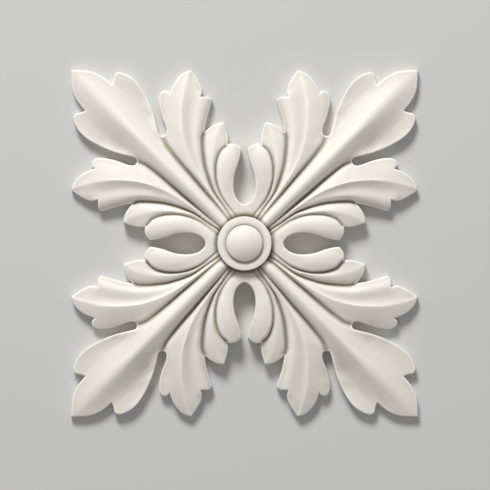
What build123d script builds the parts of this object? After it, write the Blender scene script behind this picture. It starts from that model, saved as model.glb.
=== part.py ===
from build123d import *
import os

# Square stucco ornament, cast as one piece: four acanthus leaves on the diagonals of a square
# round a stepped boss. The flat back lies on Z = 0, the relief faces +Z and the origin is the
# middle of the back. Each lobe of a leaf is its plan outline raised to the full depth and cut
# down to the lobe's own relief, so lobes meet in the valleys and steps where their reliefs cross.

# Driving dimensions, in millimetres
WIDTH = 200.0           # side of the square that the four leaf tips touch
MIDRIB_HEIGHT = 16.8    # highest point of a leaf's midrib above the back
MIDRIB_ROUND = 5.0      # radius of the midrib's round back
FINGER_ROUND = 8.0      # radius of a finger's round back
RING_RADIUS = 15.5      # flat ring round the dome
RING_STEP = 0.9         # ring face above the highest point of the midribs
RING_BEVEL = 0.4        # bevel of the ring's outer arris
DOME_RADIUS = 10.5      # dome on the ring
DOME_RIM = 1.0          # upright rim of the dome, below its curve
DOME_RISE = 6.0         # crown of the dome above the ring face
EYELET_RADIUS = 2.4     # round foot of the slit between a blade and the lobe beside it

# The outlines and reliefs below are drawn on a square of this side and for this midrib height
DRAWN_WIDTH = 200.0
DRAWN_HEIGHT = 16.8
SPREAD = WIDTH / DRAWN_WIDTH
RELIEF = MIDRIB_HEIGHT / DRAWN_HEIGHT

RING_HEIGHT = MIDRIB_HEIGHT + RING_STEP
CAST_DEPTH = RING_HEIGHT + DOME_RISE
FOOT = -CAST_DEPTH      # reliefs reach well below the back, where the outlines cut them off

LEAF_COUNT = 4
LEAF_TURN = -45.0       # from upright, as a blade is drawn, to the diagonal
DIAGONAL = Plane(origin=(0, 0, 0), x_dir=(0, 0, 1), z_dir=(1, -1, 0))
MEDIAN = Plane.YZ
UPRIGHT = (Align.CENTER, Align.CENTER, Align.MIN)

# An outline is a run of arcs: an end, a point on the way, the next end, and so on.
# Blade: the leaf's end lobe with its round midrib, drawn upright about X = 0 with its tip up.
BLADE_EDGE = [
    (0, 141.42), (3.5, 137.7), (6.8, 133.9), (9.85, 126.7), (10.75, 118.9), (13.9, 120.8),
    (16.9, 121.8), (20.6, 117.6), (21.8, 110.0), (17.6, 94.2), (10.0, 80.3),
]
BLADE_ROOT = [(10.0, 80.3), (10.6, 75.7), (12.0, 70.0), (5.0, 6.0)]
# Back of the midrib, the stock beside it and the bed of its root: (distance from the middle, height)
MIDRIB_LINE = [(0, 15.8), (42, 16.8), (78, 15.3), (104, 11.8), (126, 6.5), (146, 1.0)]
STOCK_LINE = [(66, 15.1), (78, 14.5), (104, 11.0), (126, 5.7), (146, 0.2)]
ROOT_LINE = [(0, 11.5), (66, 11.5)]
RELIEF_REACH = 24.0     # half width of the reliefs drawn about X = 0, past their outlines
# Each side of the stock is hollowed by a gouge that widens to the tip: where the line of the
# hollow starts and ends, as X, Y and height, and the gouge's radius there
GOUGE_NEAR = (10.0, 60.0, 11.1, 8.6)
GOUGE_FAR = (18.5, 145.0, 1.7, 31.3)

# Side lobe: one row per cross-section across X: its Y, then (X, height) of the hidden outer
# skirt, the terrace, the sharp ridge, the inner flank and the hidden inner skirt.
SIDE_SECTIONS = [
    (9, (-4.0, 11.5), (1.5, 13.7), (3.5, 14.5), (6.0, 13.7), (13.0, 10.5)),
    (34.5, (14.0, 10.0), (20.3, 12.8), (22.6, 13.9), (26.3, 13.0), (35.0, 10.5)),
    (53, (18.0, 8.6), (28.2, 10.9), (32.5, 13.3), (40.5, 11.3), (52.0, 7.5)),
    (64, (16.5, 6.8), (28.8, 9.6), (35.2, 12.5), (43.0, 9.4), (54.0, 5.5)),
    (75, (14.0, 4.9), (28.4, 7.8), (36.3, 10.9), (43.0, 7.9), (54.0, 2.6)),
    (88, (14.0, 3.0), (26.6, 5.2), (34.3, 7.4), (40.8, 5.4), (54.0, 2.1)),
    (102, (14.0, 1.8), (25.0, 2.8), (29.7, 3.8), (35.0, 3.2), (54.0, 1.8)),
]
SIDE_EDGE = [
    (23.0, 64.4), (21.2, 73.6), (18.5, 82.5), (21.4, 84.4), (25.3, 84.5), (25.8, 92.8), (30.5, 99.7),
    (38.9, 95.0), (43.1, 86.2), (46.3, 88.1), (49.1, 83.8), (48.3, 76.0), (44.8, 64.3),
]
SIDE_ROOT_INNER = [(44.8, 64.3), (49.0, 60.5), (47.5, 54.5), (25.5, 28.5), (7.0, 9.0), (0.0, 9.0)]
SIDE_ROOT_OUTER = [(0.0, 9.0), (16.3, 34.0), (23.0, 64.4)]

# Inner lobe, between the side lobe and the finger, with sections as for the side lobe
INNER_SECTIONS = [
    (10, (-6.0, 9.5), (0.6, 12.9), (2.7, 14.1), (4.8, 13.4), (12.0, 10.0)),
    (27, (3.5, 8.2), (12.4, 12.4), (14.6, 13.7), (16.6, 13.0), (26.0, 9.2)),
    (38, (5.5, 7.6), (15.6, 12.0), (18.1, 13.6), (21.0, 12.6), (31.5, 8.5)),
    (53, (4.0, 7.2), (13.2, 10.7), (17.6, 13.1), (23.5, 10.9), (33.0, 6.5)),
    (62, (2.0, 6.7), (9.8, 9.1), (15.8, 11.6), (21.2, 10.2), (33.0, 5.4)),
    (72, (2.0, 5.5), (7.5, 6.6), (10.6, 7.8), (16.0, 7.0), (33.0, 3.5)),
]
INNER_EDGE = [(9.4, 59.2), (10.1, 64.4), (11.8, 69.7), (17.8, 68.1), (23.0, 64.4)]
INNER_ROOT = [(23.0, 64.4), (26.0, 45.0), (6.0, 10.0)]
INNER_FOOT = [(6.0, 10.0), (0.0, 10.0)]
INNER_BACK = [(0.0, 10.0), (12.3, 38.0), (9.4, 59.2)]

# Fingers: the two rounded lobes of neighbouring leaves that join round an eye, drawn upright
# about X = 0. A finger's round back follows a line of (X, Y, height) over a sloping bed.
EYE_FOOT = [(-5.9, 29.0), (0.0, 22.4), (5.9, 29.0)]
FINGER_EDGE = [
    (5.9, 29.0), (5.5, 37.5), (1.9, 54.9), (6.2, 57.4), (12.1, 55.4), (16.5, 38.4), (10.2, 22.0),
]
FINGER_ROOT = [(10.2, 22.0), (4.0, 7.0)]
FINGER_LINE = [(6.5, 20.0, 13.0), (10.2, 36.0, 14.9), (9.6, 46.0, 15.1), (6.5, 60.0, 9.6)]
FINGER_BED = [(5.0, 15.2), (60.0, 10.4)]

EYELET_CENTRE = (47.2, 64.1)

# How far a flank's relief climbs past its ridge, at the far skirt, before the other flank cuts it
FLANK_CLIMB = 8.0


def plan(points):
    """Drawn plan points at the ornament's own width."""
    return [(x * SPREAD, y * SPREAD) for x, y in points]


def place(x, y, z):
    """A drawn place at the ornament's own width and relief."""
    return Vector(x * SPREAD, y * SPREAD, z * RELIEF)


def arcs(points):
    """Arcs through every second point of an outline."""
    ends = plan(points)
    edges = []
    for i in range(0, len(ends) - 2, 2):
        edges += ThreePointArc(*ends[i:i + 3]).edges()
    return edges


def lines(points):
    """Straight edges of an outline."""
    return Polyline(*plan(points)).edges()


def both_sides(edges):
    """Edges of the right half of an outline together with their mirror images."""
    return edges + [mirror(edge, about=MEDIAN) for edge in edges]


def closed(edges, start):
    """The edges of a symmetric outline, closed across X = 0 at its root."""
    x, y = plan([start])[0]
    return edges + Line((x, y), (-x, y)).edges()


def trimmed(reliefs, boundary):
    """A lobe of the plan outline, on a flat back, cut by one or two reliefs."""
    lobe = extrude(make_face(boundary), CAST_DEPTH)
    for body in reliefs:
        lobe = lobe & body
    return lobe


def under(profile, reach):
    """Solid under a line of (Y, height) points, this far to each side of X = 0."""
    top = [(y * SPREAD, z * RELIEF) for y, z in profile]
    section = Polyline(*top, (top[-1][0], FOOT), (top[0][0], FOOT), close=True)
    return extrude(Plane.YZ * make_face(section.edges()), reach * SPREAD, both=True)


def round_bar(points, radius):
    """Round bar whose back follows a line of (X, Y, height) points."""
    axis = Polyline(*[place(*point) - Vector(0, 0, radius) for point in points])
    start = Plane(origin=axis @ 0, z_dir=axis % 0)
    return sweep(start * Circle(radius), axis, transition=Transition.RIGHT)


def gouge():
    """Cone that hollows one side of the blade along a line that falls to the tip."""
    near_x, near_y, near_z, near_radius = GOUGE_NEAR
    far_x, far_y, far_z, far_radius = GOUGE_FAR
    start = place(near_x, near_y, near_z) + Vector(0, 0, near_radius * SPREAD)
    end = place(far_x, far_y, far_z) + Vector(0, 0, far_radius * SPREAD)
    run = end - start
    cone = Cone(near_radius * SPREAD, far_radius * SPREAD, run.length, align=UPRIGHT)
    return Plane(origin=start, z_dir=run) * cone


def flank(rows):
    """Solid under straight runs between cross-sections, each a smooth line of (X, height)."""
    sections = []
    for y, points in rows:
        top = [place(x, y, z) for x, z in points]
        last = Vector(top[-1].X, top[-1].Y, FOOT)
        first = Vector(top[0].X, top[0].Y, FOOT)
        sections.append(make_face(Spline(*top).edges() + Polyline(top[-1], last, first, top[0]).edges()))
    return loft(sections, ruled=True)


def flanks(sections):
    """Reliefs of two flanks that cut each other in a sharp ridge."""
    outer = []
    inner = []
    for y, outer_skirt, terrace, ridge, slope, inner_skirt in sections:
        climbed = ridge[1] + FLANK_CLIMB
        outer.append((y, [outer_skirt, terrace, ridge, (inner_skirt[0], climbed)]))
        inner.append((y, [(outer_skirt[0], climbed), ridge, slope, inner_skirt]))
    return [flank(outer), flank(inner)]


def make_blade():
    boundary = closed(both_sides(arcs(BLADE_EDGE) + lines(BLADE_ROOT)), BLADE_ROOT[-1])
    midrib = round_bar([(0, y, z) for y, z in MIDRIB_LINE], MIDRIB_ROUND)
    hollow = gouge()
    stock = under(STOCK_LINE, RELIEF_REACH) - hollow - mirror(hollow, about=MEDIAN)
    relief = under(ROOT_LINE, RELIEF_REACH) + stock + midrib
    upright = trimmed([relief], boundary)
    return Rot(0, 0, LEAF_TURN) * upright


def make_side_lobe():
    boundary = arcs(SIDE_EDGE) + lines(SIDE_ROOT_INNER) + arcs(SIDE_ROOT_OUTER)
    return trimmed(flanks(SIDE_SECTIONS), boundary)


def make_inner_lobe():
    boundary = arcs(INNER_EDGE) + arcs(INNER_ROOT) + lines(INNER_FOOT) + arcs(INNER_BACK)
    return trimmed(flanks(INNER_SECTIONS), boundary)


def make_fingers():
    sides = both_sides(arcs(FINGER_EDGE) + lines(FINGER_ROOT))
    boundary = closed(sides + arcs(EYE_FOOT), FINGER_ROOT[-1])
    finger = round_bar(FINGER_LINE, FINGER_ROUND)
    relief = under(FINGER_BED, RELIEF_REACH) + finger + mirror(finger, about=MEDIAN)
    return trimmed([relief], boundary)


def make_boss():
    crown = (0, CAST_DEPTH)
    rim = (DOME_RADIUS, RING_HEIGHT + DOME_RIM)
    foot = (DOME_RADIUS, RING_HEIGHT)
    bevel_top = (RING_RADIUS - RING_BEVEL, RING_HEIGHT)
    bevel_foot = (RING_RADIUS, RING_HEIGHT - RING_BEVEL)
    outline = TangentArc(crown, rim, tangent=(1, 0)).edges()
    outline += Polyline(rim, foot, bevel_top, bevel_foot, (RING_RADIUS, 0), (0, 0), crown).edges()
    return revolve(Plane.XZ * make_face(outline), Axis.Z)


half_leaf = make_side_lobe() + make_inner_lobe()
leaf = make_blade() + half_leaf + mirror(half_leaf, about=DIAGONAL)

eyelet_x, eyelet_y = plan([EYELET_CENTRE])[0]
eyelet = Cylinder(EYELET_RADIUS, CAST_DEPTH, align=UPRIGHT)
leaf = leaf - Pos(eyelet_x, eyelet_y, 0) * eyelet - Pos(eyelet_y, eyelet_x, 0) * eyelet

quarter = leaf + make_fingers()
ornament = quarter
for turn in range(1, LEAF_COUNT):
    ornament = ornament + Rot(0, 0, turn * 360 / LEAF_COUNT) * quarter
ornament = ornament + make_boss()

os.makedirs("parts", exist_ok=True)
export_step(ornament, "parts/stucco_ornament.step")
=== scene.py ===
import bpy
import math
import numpy as np
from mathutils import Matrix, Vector
from mathutils.geometry import delaunay_2d_cdt


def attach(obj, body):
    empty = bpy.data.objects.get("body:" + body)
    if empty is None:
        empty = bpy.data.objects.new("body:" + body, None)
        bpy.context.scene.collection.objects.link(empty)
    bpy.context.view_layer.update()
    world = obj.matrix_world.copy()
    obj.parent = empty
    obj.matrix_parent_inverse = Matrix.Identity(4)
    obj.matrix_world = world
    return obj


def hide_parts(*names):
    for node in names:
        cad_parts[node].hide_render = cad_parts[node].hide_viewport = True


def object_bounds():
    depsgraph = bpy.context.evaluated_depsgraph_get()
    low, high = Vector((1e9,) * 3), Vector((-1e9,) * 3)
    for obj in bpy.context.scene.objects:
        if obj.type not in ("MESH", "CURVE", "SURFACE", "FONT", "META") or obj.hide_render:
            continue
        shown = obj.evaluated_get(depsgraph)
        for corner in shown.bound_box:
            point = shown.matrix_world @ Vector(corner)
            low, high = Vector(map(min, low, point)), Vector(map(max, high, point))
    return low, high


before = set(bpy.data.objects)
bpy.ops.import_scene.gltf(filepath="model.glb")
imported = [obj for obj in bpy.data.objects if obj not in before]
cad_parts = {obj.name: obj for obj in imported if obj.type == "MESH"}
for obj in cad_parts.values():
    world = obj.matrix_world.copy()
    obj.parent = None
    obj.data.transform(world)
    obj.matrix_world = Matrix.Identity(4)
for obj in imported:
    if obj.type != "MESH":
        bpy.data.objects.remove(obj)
cad_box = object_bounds()
bpy.ops.object.select_all(action="DESELECT")

# Ornament: four acanthus leaves on the diagonals of a square round a boss, of gypsum stucco, cast
# in one piece in a flexible mould. It is drawn in millimetres as one eighth, from the middle line
# x = 0 to the diagonal x = y, which is then mirrored and turned round the boss.
DRAWN_SIDE = 200.0
MM = (cad_box[1][0] - cad_box[0][0]) / DRAWN_SIDE

# Outline: the casting's edge, one smooth stretch after another from the eye between two fingers
# to the blade's tip. The stretches meet in corners: notches, lobe tips and where two lobes part.
EYE = [
    (0.0, 22.4), (3.4, 24.3), (5.8, 29.1), (6.3, 33.5), (5.9, 38.3), (4.9, 42.4), (3.7, 45.6),
    (2.8, 48.8), (2.2, 51.6), (1.9, 54.4),
]
FINGER_TIP = [(1.9, 54.4), (4.6, 56.7), (7.6, 57.5), (9.7, 57.2)]
INNER_LOBE_OUTSIDE = [(9.7, 57.2), (9.4, 59.2), (10.1, 64.4), (11.8, 69.7)]
INNER_LOBE_INSIDE = [(11.8, 69.7), (14.6, 69.4), (19.5, 67.2), (23.0, 64.4)]
SIDE_LOBE_OUTSIDE = [(23.0, 64.4), (21.8, 71.3), (20.0, 77.6), (18.5, 82.5)]
SIDE_LOBE_OUTER_EAR = [(18.5, 82.5), (20.1, 84.1), (22.5, 84.4), (25.3, 84.5)]
SIDE_LOBE_POINT_OUTSIDE = [(25.3, 84.5), (24.4, 87.6), (25.6, 92.0), (30.5, 99.7)]
SIDE_LOBE_POINT_INSIDE = [(30.5, 99.7), (33.6, 99.0), (38.5, 95.4), (41.7, 90.2), (43.1, 86.2)]
SIDE_LOBE_INNER_EAR_AND_SLIT = [
    (43.1, 86.2), (44.8, 87.9), (47.3, 87.7), (49.2, 84.3), (48.9, 78.7), (46.6, 70.7), (44.9, 65.2),
    (45.3, 62.9), (47.0, 61.9), (48.9, 62.4), (49.8, 64.3), (51.5, 71.3), (53.6, 77.8), (57.5, 86.2),
    (61.0, 91.7), (65.5, 96.0), (69.5, 98.0), (73.2, 98.5), (74.9, 97.2), (75.4, 94.8), (76.5, 91.7),
]
BLADE_POINT = [(76.5, 91.7), (82.0, 96.2), (89.8, 99.4), (94.8, 99.8), (100.0, 100.0)]
STRETCHES = [
    FINGER_TIP, INNER_LOBE_OUTSIDE, INNER_LOBE_INSIDE, SIDE_LOBE_OUTSIDE, SIDE_LOBE_OUTER_EAR,
    SIDE_LOBE_POINT_OUTSIDE, SIDE_LOBE_POINT_INSIDE, SIDE_LOBE_INNER_EAR_AND_SLIT, BLADE_POINT,
]
EYE_OFF_MIDDLE = 0.2    # the eye's first point stands on the middle line, the next ones past this
FINE = 0.6              # spacing of points along outlines and ridges


def spline(points, spacing):
    """Evenly spaced points on a natural cubic spline through a few points."""
    knots = np.array(points, dtype=float)
    chords = np.linalg.norm(np.diff(knots, axis=0), axis=1)
    travel = np.concatenate([[0.0], np.cumsum(chords)])
    count = len(knots)
    system = np.eye(count)
    right = np.zeros_like(knots)
    for i in range(1, count - 1):
        before = chords[i - 1]
        after = chords[i]
        system[i, i - 1:i + 2] = (before, 2 * (before + after), after)
        right[i] = 6 * ((knots[i + 1] - knots[i]) / after - (knots[i] - knots[i - 1]) / before)
    bends = np.linalg.solve(system, right)
    steps = max(2, int(round(travel[-1] / spacing)))
    at = np.linspace(0.0, travel[-1], steps + 1)
    place = np.clip(np.searchsorted(travel, at, side="right") - 1, 0, count - 2)
    gap = chords[place][:, None]
    ahead = (travel[place + 1] - at)[:, None]
    behind = (at - travel[place])[:, None]
    curve = (bends[place] * ahead ** 3 + bends[place + 1] * behind ** 3) / (6 * gap)
    curve += (knots[place] / gap - bends[place] * gap / 6) * ahead
    return curve + (knots[place + 1] / gap - bends[place + 1] * gap / 6) * behind


whole_eye = spline([(-x, y) for x, y in reversed(EYE[1:])] + EYE, FINE)
outline = [np.array([EYE[0]]), whole_eye[whole_eye[:, 0] > EYE_OFF_MIDDLE]]
for stretch in STRETCHES:
    outline.append(spline(stretch, FINE)[1:])
outline = np.concatenate(outline)


def on_outline(place):
    """The outline's point that is nearest to a place."""
    return outline[np.argmin(np.hypot(*(outline - place).T))]


# Inner lobe: the low lobe between the finger and the side lobe. Rows run across it: the row's y,
# then (x, height) of its foot beside the finger, its ridge, its flank and the valley under the
# side lobe. Its foot and the valley are sharp lines, and so is the ridge.
FOOT, INNER_RIDGE, INNER_FLANK, VALLEY = range(1, 5)
INNER_LOBE = [
    (12.0, (3.0, 12.6), (4.6, 13.1), (5.1, 12.9), (5.6, 12.4)),
    (18.0, (6.9, 12.3), (8.4, 12.9), (9.0, 12.6), (9.5, 11.9)),
    (22.0, (10.0, 12.0), (11.3, 12.7), (11.8, 12.4), (12.3, 11.5)),
    (26.0, (12.6, 11.7), (14.0, 12.6), (14.6, 12.1), (15.2, 10.9)),
    (30.0, (14.4, 11.3), (16.2, 12.5), (17.0, 11.8), (17.7, 10.2)),
    (34.5, (15.8, 11.2), (17.4, 12.6), (18.4, 11.7), (19.6, 9.9)),
    (39.0, (16.5, 11.1), (18.1, 12.6), (19.7, 11.8), (21.1, 9.8)),
    (44.0, (16.4, 10.9), (18.5, 12.5), (20.6, 11.7), (22.5, 9.3)),
    (48.5, (15.6, 10.6), (18.3, 12.2), (20.9, 11.4), (23.3, 8.8)),
    (53.0, (13.7, 10.2), (17.9, 11.7), (20.9, 10.9), (23.8, 8.3)),
    (57.2, (9.7, 9.5), (17.1, 11.1), (20.6, 10.3), (24.1, 7.7)),
    (60.0, (9.3, 9.1), (16.5, 10.6), (20.4, 9.8), (24.1, 7.3)),
    (64.4, (9.8, 8.4), (14.9, 9.7), (19.0, 9.0), (23.0, 6.8)),
    (70.0, (8.0, 7.9), (11.7, 8.4), (15.5, 8.2), (20.5, 7.0)),
]
ROOT_Y = 12.0           # the lobes' lines start here, under the boss
INNER_RIDGE_END = 69.6
VALLEY_END = 64.4
STEP_END = 57.2
LINE_READINGS = 60


def glide(knots, values, at):
    """Values at given places on smooth curves that never overshoot, one curve for each place."""
    gaps = np.diff(knots, axis=1)
    rises = np.diff(values, axis=1) / gaps
    before = rises[:, :-1]
    after = rises[:, 1:]
    climbs = before * after > 0
    lower = 2 * gaps[:, 1:] + gaps[:, :-1]
    upper = gaps[:, 1:] + 2 * gaps[:, :-1]
    safe_before = np.where(climbs, before, 1.0)
    safe_after = np.where(climbs, after, 1.0)
    even = (lower + upper) / (lower / safe_before + upper / safe_after)
    slopes = np.zeros_like(values)
    slopes[:, 1:-1] = np.where(climbs, even, 0.0)
    for end, inner in ((0, 1), (-1, -2)):
        slope = rises[:, end]
        if rises.shape[1] > 1:
            slope = (2 * gaps[:, end] + gaps[:, inner]) * rises[:, end] - gaps[:, end] * rises[:, inner]
            slope = slope / (gaps[:, end] + gaps[:, inner])
        slope = np.where(slope * rises[:, end] > 0, slope, 0.0)
        steepest = 3 * np.abs(rises[:, end])
        slopes[:, end] = np.clip(slope, -steepest, steepest)
    place = np.clip((knots < at[:, None]).sum(axis=1) - 1, 0, knots.shape[1] - 2)
    each = np.arange(len(at))
    gap = gaps[each, place]
    part = np.clip((at - knots[each, place]) / gap, 0.0, 1.0)
    first = values[each, place]
    last = values[each, place + 1]
    lean_in = slopes[each, place] * gap
    lean_out = slopes[each, place + 1] * gap
    curve = first * (1 + 2 * part) * (1 - part) ** 2 + lean_in * part * (1 - part) ** 2
    return curve + last * part ** 2 * (3 - 2 * part) + lean_out * part ** 2 * (part - 1)


def along(rows, values, at):
    """Values that stand one to a row of a table, read at given places along the rows."""
    knots = np.array([row[0] for row in rows])
    shape = (len(at), 1)
    return glide(np.tile(knots, shape), np.tile(np.array(values), shape), at)


def column_line(rows, column, low, high):
    """One column of a lobe's rows in plan, from one y to another, as evenly spaced points."""
    y = np.linspace(low, high, LINE_READINGS)
    x = along(rows, [row[column][0] for row in rows], y)
    return spline(np.stack([x, y], axis=1), FINE)


inner_ridge = column_line(INNER_LOBE, INNER_RIDGE, ROOT_Y, INNER_RIDGE_END)
valley = column_line(INNER_LOBE, VALLEY, ROOT_Y, VALLEY_END)
step_foot = column_line(INNER_LOBE, FOOT, ROOT_Y, STEP_END)

# Finger: the thick lobe that closes round the eye and steps down to the inner lobe. Rows run
# across it: the row's y, then its heights at the given offsets from the middle line.
FINGER_OFFSETS = (0.0, 2.5, 4.5, 6.5, 8.5, 10.5, 12.5, 14.5, 16.5)
FINGER = [
    (13.0, (12.6, 12.6, 12.6, 12.6, 12.6, 12.6, 12.5, 12.5, 12.5)),
    (16.0, (13.0, 13.0, 12.9, 12.8, 12.7, 12.6, 12.5, 12.5, 12.5)),
    (19.0, (13.8, 13.8, 13.6, 13.4, 13.1, 12.8, 12.6, 12.5, 12.5)),
    (23.0, (13.7, 13.7, 13.9, 13.8, 13.6, 13.2, 12.8, 12.6, 12.6)),
    (26.0, (13.3, 13.5, 13.7, 13.9, 13.9, 13.7, 13.3, 12.9, 12.6)),
    (29.0, (13.1, 13.3, 13.6, 13.9, 14.1, 14.0, 13.6, 13.2, 12.9)),
    (32.0, (13.0, 13.2, 13.5, 14.0, 14.4, 14.4, 14.1, 13.6, 13.1)),
    (38.0, (12.8, 13.0, 13.4, 14.2, 14.8, 14.9, 14.6, 13.9, 13.1)),
    (42.0, (12.6, 12.9, 13.7, 14.5, 14.95, 15.0, 14.7, 14.0, 13.2)),
    (46.0, (12.3, 12.8, 13.7, 14.4, 14.75, 14.75, 14.4, 13.7, 12.9)),
    (50.0, (11.9, 12.4, 13.3, 13.9, 14.15, 14.1, 13.7, 13.0, 12.3)),
    (53.0, (11.5, 12.0, 12.7, 13.2, 13.4, 13.3, 12.9, 12.3, 11.7)),
    (56.0, (10.9, 11.4, 11.9, 12.3, 12.4, 12.3, 11.9, 11.4, 11.0)),
    (58.0, (10.3, 10.7, 11.1, 11.4, 11.5, 11.4, 11.1, 10.7, 10.4)),
]
STEP_RUN = 0.7              # lean of the step from the finger down to the inner lobe
STEP_TOP_END = (9.0, 57.4)  # the step's top ends on the outline near here


def beside(line, offset):
    """A line of points this far to the right of another, looking along it."""
    run = np.gradient(line, axis=0)
    run /= np.linalg.norm(run, axis=1)[:, None]
    return line + np.stack([run[:, 1], -run[:, 0]], axis=1) * offset


step_top = beside(step_foot, -STEP_RUN)
step_top[-1] = on_outline(STEP_TOP_END)

# Side lobe: the pointed lobe that overlaps the inner lobe. Rows as on the inner lobe: its foot on
# the inner lobe, its rolled edge, the hollow behind the roll, its ridge, its flank and its edge
# beside the midrib, which the slit parts from the blade farther out.
ROLL, HOLLOW, SIDE_RIDGE, SIDE_FLANK, SIDE_EDGE = range(2, 7)
SIDE_LOBE = [
    (12.0, (6.2, 12.8), (6.5, 13.2), (6.8, 13.4), (7.2, 13.7), (7.7, 13.5), (8.2, 13.0)),
    (18.0, (10.1, 12.4), (10.5, 13.0), (10.9, 13.3), (11.4, 13.7), (12.0, 13.4), (12.6, 12.7)),
    (22.0, (12.9, 12.1), (13.4, 12.9), (13.9, 13.3), (14.5, 13.7), (15.2, 13.3), (15.9, 12.3)),
    (26.0, (15.8, 11.7), (16.4, 12.8), (16.9, 13.2), (17.6, 13.6), (18.4, 13.2), (19.3, 11.9)),
    (30.0, (18.4, 11.4), (19.1, 12.7), (19.7, 13.1), (20.5, 13.6), (21.6, 13.1), (22.8, 11.4)),
    (34.5, (20.4, 11.2), (21.6, 12.7), (22.4, 13.1), (23.6, 13.6), (25.0, 13.0), (26.6, 11.1)),
    (39.0, (21.9, 10.9), (23.6, 12.6), (24.8, 12.9), (26.5, 13.6), (28.3, 12.9), (30.4, 10.9)),
    (44.0, (23.3, 10.4), (25.4, 12.4), (27.0, 12.7), (29.3, 13.6), (31.9, 12.7), (34.8, 10.7)),
    (48.5, (24.1, 9.9), (26.6, 12.1), (28.6, 12.4), (31.4, 13.5), (34.8, 12.4), (38.7, 10.4)),
    (53.0, (24.6, 9.5), (27.4, 12.0), (29.8, 12.1), (33.1, 13.4), (37.3, 12.1), (42.2, 10.0)),
    (57.2, (24.9, 9.0), (28.0, 11.7), (30.6, 11.6), (34.3, 13.2), (39.3, 11.7), (45.1, 9.5)),
    (60.0, (24.9, 8.6), (28.2, 11.4), (31.0, 11.3), (35.0, 12.9), (40.4, 11.2), (46.5, 9.0)),
    (64.4, (23.7, 7.9), (28.2, 11.0), (31.3, 10.8), (35.7, 12.5), (41.0, 10.8), (47.0, 8.4)),
    (70.0, (21.8, 6.8), (27.7, 10.3), (31.2, 10.0), (36.1, 11.8), (41.5, 10.1), (48.0, 7.4)),
    (75.0, (20.6, 6.2), (27.0, 9.6), (30.8, 9.3), (36.2, 11.1), (41.6, 9.4), (48.0, 6.6)),
    (80.0, (19.2, 5.8), (25.8, 8.9), (30.2, 8.6), (36.0, 10.3), (41.6, 8.7), (49.0, 6.0)),
    (84.5, (18.5, 5.5), (25.2, 8.2), (29.8, 8.0), (35.4, 9.4), (41.2, 8.0), (49.0, 5.6)),
    (89.0, (23.0, 5.9), (27.2, 7.0), (30.3, 7.4), (34.5, 8.4), (39.6, 7.3), (47.0, 5.6)),
    (93.0, (24.5, 5.5), (28.0, 6.3), (30.4, 6.6), (33.5, 7.4), (38.0, 6.6), (45.0, 5.2)),
    (97.0, (26.5, 5.0), (28.8, 5.5), (30.3, 5.7), (32.2, 6.3), (36.0, 5.7), (43.0, 4.8)),
    (101.0, (28.0, 4.5), (28.8, 4.8), (29.4, 5.0), (30.3, 5.3), (34.0, 4.9), (41.0, 4.4)),
]
SIDE_FOOT_Y_END = 64.2          # the foot follows the rows up to here
SIDE_FOOT_END = (22.9, 65.1)    # and ends on the outline near here
SIDE_RIDGE_END = 99.6
side_foot = column_line(SIDE_LOBE, FOOT, ROOT_Y, SIDE_FOOT_Y_END)
side_foot = np.vstack([side_foot, on_outline(SIDE_FOOT_END)])
side_ridge = column_line(SIDE_LOBE, SIDE_RIDGE, ROOT_Y, SIDE_RIDGE_END)

# Blade: the leaf's long middle lobe with its round midrib, which runs out on the diagonal to the
# ornament's corner. Rows stand along the diagonal, with heights at the given offsets from it.
BLADE_OFFSETS = (0.0, 1.5, 3.0, 4.5, 6.0, 8.5, 11.0, 13.5, 16.0, 21.5)
BLADE = [
    (12.0, (15.8, 15.5, 14.8, 14.0, 13.2, 12.5, 12.0, 12.0, 12.0, 12.0)),
    (30.0, (16.3, 15.9, 15.1, 14.2, 13.3, 12.5, 12.0, 12.0, 12.0, 12.0)),
    (44.0, (16.6, 16.2, 15.4, 14.6, 13.8, 12.8, 12.0, 12.0, 12.0, 12.0)),
    (57.0, (16.4, 16.0, 15.2, 14.4, 13.7, 12.5, 11.5, 11.0, 11.0, 11.0)),
    (72.0, (15.4, 15.0, 14.2, 13.3, 12.5, 11.2, 10.4, 10.0, 10.0, 10.0)),
    (82.0, (14.5, 14.1, 13.3, 12.4, 11.4, 10.0, 9.5, 9.5, 9.5, 9.5)),
    (92.0, (13.4, 13.1, 12.2, 11.3, 10.3, 8.7, 7.3, 6.9, 7.4, 8.5)),
    (102.0, (12.0, 11.8, 11.2, 10.4, 9.5, 8.1, 6.9, 6.2, 6.0, 7.0)),
    (112.0, (10.5, 10.3, 9.8, 9.2, 8.5, 7.4, 6.5, 6.0, 6.0, 6.6)),
    (122.0, (8.6, 8.5, 8.1, 7.6, 7.1, 6.3, 5.9, 5.8, 5.8, 5.8)),
    (132.0, (6.7, 6.6, 6.3, 6.0, 5.7, 5.2, 5.0, 5.0, 5.0, 5.0)),
    (142.0, (4.7, 4.6, 4.5, 4.3, 4.2, 4.0, 4.0, 4.0, 4.0, 4.0)),
]
# Line where the midrib meets the side lobe, and the middle of the slit beyond it
BLADE_SIDE = [
    (6.2, 10.0), (9.8, 14.4), (12.9, 18.4), (17.4, 23.6), (23.4, 30.5), (29.3, 37.4), (34.9, 43.7),
    (40.7, 50.6), (45.2, 56.9), (47.0, 61.7), (48.9, 70.0), (51.0, 78.0), (55.0, 90.0), (60.0, 101.0),
]
SLIT_FOOT = 62.0
midrib_side = spline([(x, y) for x, y in BLADE_SIDE if y < SLIT_FOOT], FINE)

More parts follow.
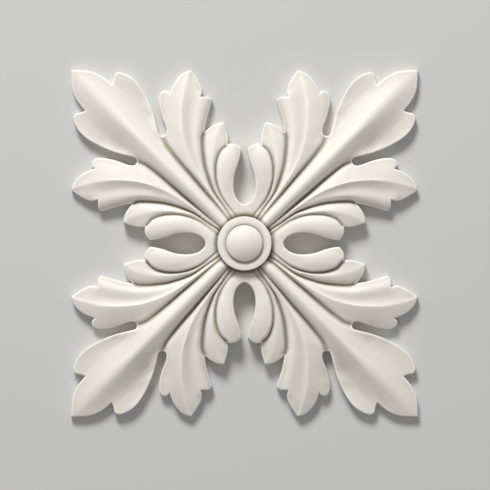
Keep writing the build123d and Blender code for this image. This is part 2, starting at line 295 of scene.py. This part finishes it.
# Boss: a flat ring with a rounded arris, a groove at the dome's foot and the dome, cast as one with
# the leaves. Its profile is a row of circles about the middle, each with its height.
RING_RADIUS = 15.5
RING_HEIGHT = 18.5
RING_ARRIS = 0.5
RING_ARRIS_MIDDLE = 0.15    # how far the arris is cut back halfway round
WALL_LEAN = 0.05            # the ring's and the dome's walls lean in by this
GROOVE = 0.4
GROOVE_LIP = 0.9            # from the dome to where the ring starts to fall
GROOVE_TURN = (0.35, 0.1)   # out from the dome and down from the ring
GROOVE_FLOOR = 0.1
DOME_RADIUS = 10.5
DOME_RIM = 1.5              # height of the dome's wall, rounded over into its cap
DOME_RIM_STRAIGHT = 0.7     # share of it that is straight
DOME_RIM_ROUNDING = 0.2
DOME_RISE = 5.2
DOME_CIRCLES = 14
GRAIN = 0.8                 # spacing of the mesh
ring_foot = RING_RADIUS + WALL_LEAN
boss_profile = [
    (RING_RADIUS, RING_HEIGHT - RING_ARRIS),
    (RING_RADIUS - RING_ARRIS_MIDDLE, RING_HEIGHT - RING_ARRIS_MIDDLE),
    (RING_RADIUS - RING_ARRIS, RING_HEIGHT),
    (0.5 * (RING_RADIUS + DOME_RADIUS), RING_HEIGHT),
    (DOME_RADIUS + GROOVE_LIP, RING_HEIGHT),
    (DOME_RADIUS + GROOVE_TURN[0], RING_HEIGHT - GROOVE_TURN[1]),
    (DOME_RADIUS + GROOVE_FLOOR, RING_HEIGHT - GROOVE),
    (DOME_RADIUS, RING_HEIGHT - GROOVE),
    (DOME_RADIUS - WALL_LEAN, RING_HEIGHT + DOME_RIM_STRAIGHT * DOME_RIM),
]
cap_rise = DOME_RISE - DOME_RIM
cap_foot = DOME_RADIUS - DOME_RIM_ROUNDING
cap_radius = (cap_foot ** 2 + cap_rise ** 2) / (2 * cap_rise)
for circle in np.linspace(cap_foot, GRAIN, DOME_CIRCLES):
    rise = math.sqrt(cap_radius ** 2 - circle ** 2) - (cap_radius - cap_rise)
    boss_profile.append((circle, RING_HEIGHT + DOME_RIM + rise))


def ring_arc(radius):
    """Points on a circle about the boss, from the middle line to the diagonal."""
    steps = max(3, int(round(radius * math.pi / 4 / FINE)))
    angles = np.linspace(math.pi / 2, math.pi / 4, steps + 1)
    return np.stack([radius * np.cos(angles), radius * np.sin(angles)], axis=1)


rings = [ring_arc(ring_foot)] + [ring_arc(circle) for circle, level in boss_profile]

# Plan of the mesh: points on the lines above, in rows close beside edges and creases, then on an
# even lattice. A free point is left out where another point or a line of symmetry is too near.
ROOT_TWO = math.sqrt(2.0)
ARRIS = 0.8             # rounding of every outer edge
TIP_GAP = 0.5           # from the blade's tip to the last point on the diagonal
LINE_OFF_RING = 0.3
LINE_OFF_DIAGONAL = 0.1
SYMMETRY_MARGIN = 0.1
SYMMETRY_SHARE = 0.3
RIM_ROWS = (0.12, 0.4, 0.8, 1.35)
RIM_GAP = 0.1
RING_ROWS = (0.45, 0.95)
RING_GAP = 0.3
CREASE_ROWS = (0.5, 1.0, 1.6, 2.2)
CREASE_GAP = 0.47       # keeps free points out of the step between finger and inner lobe
ROW_SHARE = 0.93        # a row ends where its own line bends nearer to it than this share
LATTICE_START = 0.35 * GRAIN
LATTICE_GAP = 0.6 * GRAIN
LATTICE_OFF_RING = 0.5 * GRAIN
INSIDE_BORDER = 1       # the triangulation keeps only what the border holds
SAME_PLACE = 1e-4
places = []
edges = []
near = {}


def distance(points, line):
    """Shortest distance from each point to a line of short straight runs."""
    nearest = np.full(len(points), np.inf)
    for start, end in zip(line[:-1], line[1:]):
        run = end - start
        part = np.clip(((points - start) @ run) / (run @ run), 0.0, 1.0)
        gap = points - start - part[:, None] * run
        nearest = np.minimum(nearest, np.einsum("ij,ij->i", gap, gap))
    return np.sqrt(nearest)


def cell(point):
    """The square of the plan that a point lies in, for finding its neighbours."""
    return int(math.floor(point[0] / GRAIN)), int(math.floor(point[1] / GRAIN))


def add(points, joined):
    """Adds points of the plan, joined to each other where the mesh has to follow them."""
    first = len(places)
    for point in points:
        places.append((float(point[0]), float(point[1])))
        near.setdefault(cell(point), []).append(places[-1])
    if joined:
        edges.extend((first + i, first + i + 1) for i in range(len(points) - 1))


def add_free(points, gap):
    """Adds points that keep a gap from all the others."""
    margin = SYMMETRY_SHARE * gap + SYMMETRY_MARGIN
    for x, y in points:
        if x < margin or y - x < margin:
            continue
        column, row = cell((x, y))
        cells = [(column + i, row + j) for i in (-1, 0, 1) for j in (-1, 0, 1)]
        others = [other for each in cells for other in near.get(each, ())]
        if all(math.hypot(other[0] - x, other[1] - y) > gap for other in others):
            add([(x, y)], joined=False)


middle_y = np.arange(ring_foot + GRAIN, EYE[0][1], GRAIN)
middle = np.stack([np.zeros_like(middle_y), middle_y], axis=1)
diagonal_x = np.arange(ring_foot + GRAIN, DRAWN_SIDE / ROOT_TWO - TIP_GAP, GRAIN) / ROOT_TWO
diagonal = np.stack([diagonal_x, diagonal_x], axis=1)
border = np.concatenate([
    np.zeros((1, 2)), [ring[0] for ring in reversed(rings)], middle, outline,
    diagonal[::-1], [ring[-1] for ring in rings],
])
add(border, joined=False)
for ring in rings:
    add(ring, joined=True)
for line in (valley, side_foot, inner_ridge, side_ridge, step_foot, step_top, midrib_side):
    off_ring = np.hypot(*line.T) > ring_foot + LINE_OFF_RING
    off_diagonal = line[:, 0] < line[:, 1] - LINE_OFF_DIAGONAL
    add(line[off_ring & off_diagonal], joined=True)

for offset in RIM_ROWS:
    row = beside(outline, offset)
    add_free(row[distance(row, outline) > ROW_SHARE * offset], RIM_GAP)
for offset in RING_ROWS:
    add_free(ring_arc(ring_foot + offset), RING_GAP)
right = 1
left = -1
creased_sides = [
    (valley, left), (side_foot, right), (step_foot, right), (step_top, left), (midrib_side, right, left),
]
for line, *sides in creased_sides:
    for offset in CREASE_ROWS:
        for side in sides:
            row = beside(line, side * offset)
            own = distance(row, line) > ROW_SHARE * offset
            off_ring = np.hypot(*row.T) > ring_foot + LINE_OFF_RING
            row = row[own & off_ring]
            add_free(row[distance(row, outline) > ARRIS], CREASE_GAP)
row_gap = GRAIN * math.sqrt(3.0) / 2
for number, row_y in enumerate(np.arange(0.0, 0.5 * DRAWN_SIDE, row_gap)):
    row_x = np.arange(LATTICE_START + (number % 2) * GRAIN / 2, row_y, GRAIN)
    row = np.stack([row_x, np.full_like(row_x, row_y)], axis=1)
    row = row[np.hypot(*row.T) > ring_foot + LATTICE_OFF_RING]
    add_free(row[distance(row, outline) > ARRIS], LATTICE_GAP)

border_face = list(range(len(border)))
points = [Vector(place) for place in places]
verts, _, faces, *_ = delaunay_2d_cdt(points, edges, [border_face], INSIDE_BORDER, SAME_PLACE)
plan = np.array([tuple(vert) for vert in verts])

# Relief: every point gets the height of the lobe that it lies on. Finger, inner lobe, side lobe
# and blade part along the step, the valley and the midrib's side. The inner lobe's tip lies past
# the end of the side lobe's foot, and a leaning line there parts the two.
FINGER_TOP = 57.3
INNER_LOBE_TOP = 70.0
NOTCH = (22.2, 65.0)
NOTCH_LEAN = 0.28
HAIR = 0.01             # the very end of the side lobe's foot counts as past it


def line_x(line, at):
    """The x of a line at given y."""
    knots = np.array(line)
    return np.interp(at, knots[:, 1], knots[:, 0])


def lobe_height(rows, columns, points):
    """Height between two sharp lines of a lobe, smooth over the columns between them."""
    x, y = points.T
    knots = np.stack([along(rows, [row[c][0] for row in rows], y) for c in columns], axis=1)
    heights = np.stack([along(rows, [row[c][1] for row in rows], y) for c in columns], axis=1)
    return glide(knots, heights, x)


def symmetric_height(rows, offsets, away, at):
    """Height on a lobe that is alike on both sides of its middle, this far away from it."""
    heights = [along(rows, [row[1][c] for row in rows], at) for c in range(len(offsets))]
    heights = np.stack([heights[1]] + heights, axis=1)
    knots = np.tile(np.array((-offsets[1],) + offsets), (len(at), 1))
    return glide(knots, heights, away)


x, y = plan.T
height = np.zeros(len(plan))
step_x = line_x(step_foot, y) - 0.5 * STEP_RUN
beside_foot = 0.5 * (line_x(valley, y) + line_x(side_foot, y))
past_foot = NOTCH[0] - NOTCH_LEAN * (y - NOTCH[1])
side_lobe_x = np.where(y < side_foot[-1, 1] - HAIR, beside_foot, past_foot)
in_blade = x > line_x(BLADE_SIDE, y)
in_side = ~in_blade & ((x > side_lobe_x) | (y >= INNER_LOBE_TOP))
in_inner = ~in_blade & ~in_side & ((x > step_x) | (y >= FINGER_TOP))
in_finger = ~in_blade & ~in_side & ~in_inner
finger = plan[in_finger]
height[in_finger] = symmetric_height(FINGER, FINGER_OFFSETS, finger[:, 0], finger[:, 1])
inner = plan[in_inner]
height[in_inner] = np.where(
    inner[:, 0] < line_x(inner_ridge, inner[:, 1]),
    lobe_height(INNER_LOBE, (FOOT, INNER_RIDGE), inner),
    lobe_height(INNER_LOBE, (INNER_RIDGE, INNER_FLANK, VALLEY), inner),
)
side = plan[in_side]
height[in_side] = np.where(
    side[:, 0] < line_x(side_ridge, side[:, 1]),
    lobe_height(SIDE_LOBE, (FOOT, ROLL, HOLLOW, SIDE_RIDGE), side),
    lobe_height(SIDE_LOBE, (SIDE_RIDGE, SIDE_FLANK, SIDE_EDGE), side),
)

# The blade's height is read along the diagonal and away from it. The midrib comes down to the side
# lobe's edge where the two meet, and the blade is free of it past the slit's foot.
MEETING_END = 81.0
MEETING_FADE = 4.0
MEETING_POWER = 4       # the midrib stays round and turns down only close to the side lobe


def turned(points):
    """Distances of points along the diagonal and away from it."""
    return (points[:, 0] + points[:, 1]) / ROOT_TWO, (points[:, 1] - points[:, 0]) / ROOT_TWO


def blade_height(points):
    """Height of the blade, before the midrib comes down beside the side lobe."""
    out, away = turned(points)
    return symmetric_height(BLADE, BLADE_OFFSETS, np.abs(away), out)


blade = plan[in_blade]
blade_out, blade_away = turned(blade)
edge = np.array(BLADE_SIDE)
edge_out, edge_away = turned(edge)
edge_height = along(SIDE_LOBE, [row[SIDE_EDGE][1] for row in SIDE_LOBE], edge[:, 1])
meet_away = np.interp(blade_out, edge_out, edge_away)
meeting = np.stack([(blade_out - meet_away) / ROOT_TWO, (blade_out + meet_away) / ROOT_TWO], axis=1)
drop = np.interp(blade_out, edge_out, edge_height) - blade_height(meeting)
part_way = np.clip(blade_away / meet_away, 0.0, 1.0)
fade = np.clip((MEETING_END - blade_out) / MEETING_FADE, 0.0, 1.0)
height[in_blade] = blade_height(blade) + drop * part_way ** MEETING_POWER * fade

# Creases, cut along the midrib and into the inner lobe under the side lobe and the finger. They
# run out towards the boss. The lobes that step down there have rounded arrises, and so has every
# outer edge.
CREASE_START = 14.0
CREASE_RUN = 18.0
CREASE_LEAST = 0.15
STEP_ARRIS = 0.7
radius = np.hypot(x, y)
strength = np.clip((radius - CREASE_START) / CREASE_RUN, CREASE_LEAST, 1.0)
everywhere = np.full(len(plan), True)
# Each crease: its line, where it cuts, its depth and half width
creases = [
    (midrib_side, everywhere, 1.2, 1.4),
    (valley, in_inner, 0.6, 1.1),
    (step_foot, in_inner, 0.6, 0.9),
]
for line, owner, depth, width in creases:
    cut = depth * np.exp(-(distance(plan, line) / width) ** 2) * strength
    height -= np.where(owner, cut, 0.0)


def rounded_off(arris, from_edge):
    """How far a rounded arris lies below the sharp one, this far from the edge."""
    into = np.clip(arris - from_edge, 0.0, arris)
    return arris - np.sqrt(arris ** 2 - into ** 2)


for line, owner in ((side_foot, in_side), (step_top, in_finger)):
    height -= np.where(owner, rounded_off(STEP_ARRIS, distance(plan, line)), 0.0)
sharp_height = height.copy()
from_outline = distance(plan, outline)
height -= rounded_off(ARRIS, from_outline)

# The leaves run out in a quirk cut round the ring's foot, and inside it stands the boss
QUIRK_DEPTH = 1.6
QUIRK_WIDTH = 1.0
height -= QUIRK_DEPTH * np.exp(-((radius - ring_foot) / QUIRK_WIDTH) ** 2)
profile = np.array(boss_profile + [(0.0, RING_HEIGHT + DOME_RISE)])[::-1]
on_boss = radius < RING_RADIUS + 0.5 * WALL_LEAN
height[on_boss] = np.interp(radius[on_boss], profile[:, 0], profile[:, 1])
sharp_height[on_boss] = height[on_boss]

mesh = bpy.data.meshes.new("stucco_relief")
mesh.from_pydata((np.column_stack([plan, height]) * MM).tolist(), [], faces)

# Painted shade and highlight for the stucco's colour: how far each point lies below the mean of its
# surroundings, with the half leaves next to the drawn one counted in. Hollows get painted shade, and
# raised parts and outer edges, which count as raised, get a painted highlight.
SURROUNDINGS = 1.8
REACH = 3 * SURROUNDINGS
FULL_SHADE_DEPTH = 1.5
HIGHLIGHT_RIM_WIDTH = 1.5 * ARRIS
BATCH = 200             # points taken at a time, to save memory
corners = np.array(faces)
first = plan[corners[:, 0]]
to_second = plan[corners[:, 1]] - first
to_third = plan[corners[:, 2]] - first
face_sizes = np.abs(to_second[:, 0] * to_third[:, 1] - to_second[:, 1] * to_third[:, 0])
sizes = np.bincount(corners.ravel(), np.repeat(face_sizes, 3), len(plan))
around = np.concatenate([plan, plan * (-1.0, 1.0), plan[:, ::-1]])
order = np.argsort(around[:, 1])
around = around[order]
around_height = np.tile(sharp_height, 3)[order]
around_size = np.tile(sizes, 3)[order]
by_y = np.argsort(plan[:, 1])
mean = np.zeros(len(plan))
for start in range(0, len(plan), BATCH):
    some = by_y[start:start + BATCH]
    low = np.searchsorted(around[:, 1], plan[some, 1].min() - REACH)
    high = np.searchsorted(around[:, 1], plan[some, 1].max() + REACH)
    apart = ((plan[some, None] - around[None, low:high]) ** 2).sum(axis=2)
    weight = around_size[low:high] * np.exp(-apart / (2 * SURROUNDINGS ** 2))
    mean[some] = (weight @ around_height[low:high]) / weight.sum(axis=1)
# Painted light: lower than the surroundings gives painted shade, higher ground and the outer edges give
# a painted highlight, stored on the points for the colour
lowness = np.clip((mean - sharp_height) / FULL_SHADE_DEPTH, -1.0, 1.0)
rim_highlight = np.clip(1.0 - from_outline / HIGHLIGHT_RIM_WIDTH, 0.0, 1.0)
painted_shade_and_highlight = mesh.attributes.new("painted_shade_and_highlight", "FLOAT", "POINT")
painted_shade_and_highlight.data.foreach_set("value", lowness * (1.0 - rim_highlight) - rim_highlight)

# Casting: the eighth is mirrored across the middle line and turned three times about the boss,
# then its border is drawn straight down to the flat back, which closes it
SEAM = 2e-6             # metres between points that are one point
SHARP_FROM = math.radians(40)
ornament = bpy.data.objects.new("stucco_relief", mesh)
bpy.context.collection.objects.link(ornament)
bpy.context.view_layer.objects.active = ornament
ornament.select_set(True)
mirror = ornament.modifiers.new("other half", "MIRROR")
mirror.merge_threshold = SEAM
bpy.ops.object.modifier_apply(modifier=mirror.name)
bpy.ops.object.mode_set(mode="EDIT")
bpy.ops.mesh.select_all(action="SELECT")
bpy.ops.mesh.spin(steps=3, dupli=True, angle=1.5 * math.pi, center=(0, 0, 0), axis=(0, 0, 1))
bpy.ops.mesh.select_all(action="SELECT")
bpy.ops.mesh.remove_doubles(threshold=2 * SEAM)
bpy.ops.mesh.select_all(action="DESELECT")
bpy.ops.mesh.select_mode(type="EDGE")
bpy.ops.mesh.select_non_manifold(
    extend=False, use_wire=False, use_boundary=True,
    use_multi_face=False, use_non_contiguous=False, use_verts=False,
)
bpy.ops.mesh.extrude_region_move()
bpy.ops.transform.resize(value=(1, 1, 0), center_override=(0, 0, 0))
bpy.ops.mesh.edge_face_add()
bpy.ops.mesh.select_all(action="SELECT")
bpy.ops.mesh.normals_make_consistent(inside=False)
bpy.ops.object.mode_set(mode="OBJECT")
bpy.ops.object.shade_smooth_by_angle(angle=SHARP_FROM)

# Stucco: warm off-white gypsum, matt with a faint bloom, as it comes from the mould. It is a little
# mottled and has a fine grain. Painted shade darkens its colour in the hollows and creases, and a
# painted highlight lightens raised parts and outer edges.
stucco = bpy.data.materials.new("cast stucco")
stucco.use_nodes = True
nodes = stucco.node_tree.nodes
links = stucco.node_tree.links
shader = nodes["Principled BSDF"]
shader.inputs["Specular IOR Level"].default_value = 0.4
place = nodes.new("ShaderNodeTexCoord")
mottle = nodes.new("ShaderNodeTexNoise")
mottle.inputs["Scale"].default_value = 28.0
mottle.inputs["Detail"].default_value = 3.0
cast_tone = nodes.new("ShaderNodeMix")
cast_tone.data_type = "RGBA"
cast_tone.inputs["A"].default_value = (0.91, 0.868, 0.805, 1.0)
cast_tone.inputs["B"].default_value = (0.87, 0.825, 0.757, 1.0)
# Painted shade and highlight: the stored attribute picks a tone that multiplies the stucco's colour,
# white on raised parts and outer edges, a little darker on level ground and darkest in creases and
# hollows
painted_light_reader = nodes.new("ShaderNodeAttribute")
painted_light_reader.attribute_name = "painted_shade_and_highlight"
painted_light_share = nodes.new("ShaderNodeMapRange")
painted_light_share.inputs["From Min"].default_value = -1.0
painted_light_ramp = nodes.new("ShaderNodeValToRGB")
painted_highlight_tone = (1.0, 1.0, 1.0, 1.0)
level_tone = (0.90, 0.897, 0.892, 1.0)
painted_shade_tone = (0.68, 0.657, 0.625, 1.0)
painted_deep_shade_tone = (0.47, 0.44, 0.40, 1.0)
painted_light_ramp.color_ramp.elements[0].color = painted_highlight_tone
painted_light_ramp.color_ramp.elements[1].color = painted_deep_shade_tone
for position, tone in ((0.36, painted_highlight_tone), (0.5, level_tone), (0.72, painted_shade_tone)):
    painted_light_ramp.color_ramp.elements.new(position).color = tone
painted_light_tone = nodes.new("ShaderNodeMix")
painted_light_tone.data_type = "RGBA"
painted_light_tone.blend_type = "MULTIPLY"
painted_light_tone.inputs["Factor"].default_value = 1.0
links.new(place.outputs["Object"], mottle.inputs["Vector"])
links.new(mottle.outputs["Fac"], cast_tone.inputs["Factor"])
links.new(painted_light_reader.outputs["Fac"], painted_light_share.inputs["Value"])
links.new(painted_light_share.outputs["Result"], painted_light_ramp.inputs["Fac"])
links.new(cast_tone.outputs["Result"], painted_light_tone.inputs["A"])
links.new(painted_light_ramp.outputs["Color"], painted_light_tone.inputs["B"])
links.new(painted_light_tone.outputs["Result"], shader.inputs["Base Color"])
grain = nodes.new("ShaderNodeTexNoise")
grain.inputs["Scale"].default_value = 700.0
grain.inputs["Detail"].default_value = 4.0
bloom = nodes.new("ShaderNodeMapRange")
bloom.inputs["To Min"].default_value = 0.42
bloom.inputs["To Max"].default_value = 0.62
skin = nodes.new("ShaderNodeBump")
skin.inputs["Strength"].default_value = 0.25
skin.inputs["Distance"].default_value = 0.0001
links.new(place.outputs["Object"], grain.inputs["Vector"])
links.new(grain.outputs["Fac"], bloom.inputs["Value"])
links.new(bloom.outputs["Result"], shader.inputs["Roughness"])
links.new(grain.outputs["Fac"], skin.inputs["Height"])
links.new(skin.outputs["Normal"], shader.inputs["Normal"])
ornament.data.materials.append(stucco)
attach(ornament, "root")
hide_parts("stucco_ornament")

# Studio: a plain pale floor that the ornament lies on, a soft disk lamp high beyond its far edge
# and an even white fill all round
bpy.ops.mesh.primitive_plane_add(size=6.0, location=(0, 0, 0))
floor = bpy.context.object
floor.name = "floor"
paint = bpy.data.materials.new("floor paint")
paint.use_nodes = True
paint_shader = paint.node_tree.nodes["Principled BSDF"]
paint_shader.inputs["Base Color"].default_value = (0.62, 0.62, 0.61, 1.0)
paint_shader.inputs["Roughness"].default_value = 0.8
floor.data.materials.append(paint)

KEY_FROM = Vector((-0.5, 1.95, 1.65))
bpy.ops.object.light_add(type="AREA", location=KEY_FROM)
key = bpy.context.object
key.data.shape = "DISK"
key.data.size = 0.9
key.data.energy = 60.0
key.rotation_euler = KEY_FROM.to_track_quat("Z", "Y").to_euler()

world = bpy.data.worlds.new("studio")
bpy.context.scene.world = world
world.use_nodes = True
fill = world.node_tree.nodes["Background"]
fill.inputs["Color"].default_value = (1.0, 1.0, 1.0, 1.0)
fill.inputs["Strength"].default_value = 0.33

# Camera: straight above, far enough for a nearly flat view. Its frame is measured at about half
# the height of the relief.
IMAGE_PIXELS = 490
METRES_PER_PIXEL = 0.5747 * 0.001
VIEW_CENTRE = (0.0003, -0.0009)
CAMERA_HEIGHT = 2.0
RELIEF_MIDDLE = 0.01
camera_data = bpy.data.cameras.new("camera")
camera = bpy.data.objects.new("camera", camera_data)
bpy.context.collection.objects.link(camera)
camera.location = (VIEW_CENTRE[0], VIEW_CENTRE[1], CAMERA_HEIGHT)
frame_width = IMAGE_PIXELS * METRES_PER_PIXEL
camera_data.sensor_fit = "HORIZONTAL"
camera_data.lens = camera_data.sensor_width * (CAMERA_HEIGHT - RELIEF_MIDDLE) / frame_width
camera_data.clip_end = 20.0
bpy.context.scene.camera = camera
bpy.context.scene.view_settings.view_transform = "Standard"

bpy.context.view_layer.update()
